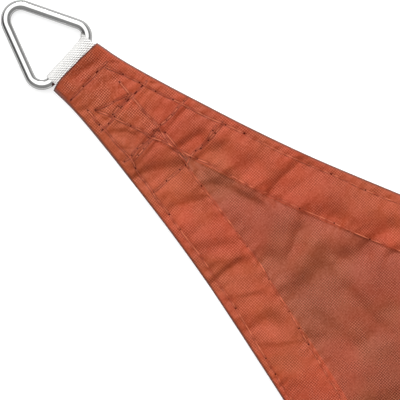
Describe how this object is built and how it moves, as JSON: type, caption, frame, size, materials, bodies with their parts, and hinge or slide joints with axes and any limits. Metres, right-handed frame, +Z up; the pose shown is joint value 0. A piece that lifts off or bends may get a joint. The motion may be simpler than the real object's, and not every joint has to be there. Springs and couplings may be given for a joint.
{
  "type": "triangular shade sail with corner rings",
  "caption": "Triangular shade sail of hemmed woven cloth lying flat, with a webbing loop and a steel wire ring at each corner.",
  "frame": {"origin": "on the ground, under the middle of the whole object's box", "axes": "+Z up from the ground, +Y towards the corner that the picture shows, +X to the right seen from above"},
  "size_m": [2.0908, 1.8134, 0.0098],
  "materials": {
    "cloth": "matt terracotta oxford weave",
    "webbing": "white woven webbing",
    "ring": "polished steel wire"
  },
  "bodies": {
    "root": {"sail": "cloth", "webbing_1": "webbing", "webbing_2": "webbing", "webbing_3": "webbing", "ring_1": "ring", "ring_2": "ring", "ring_3": "ring"}
  },
  "joints": []
}
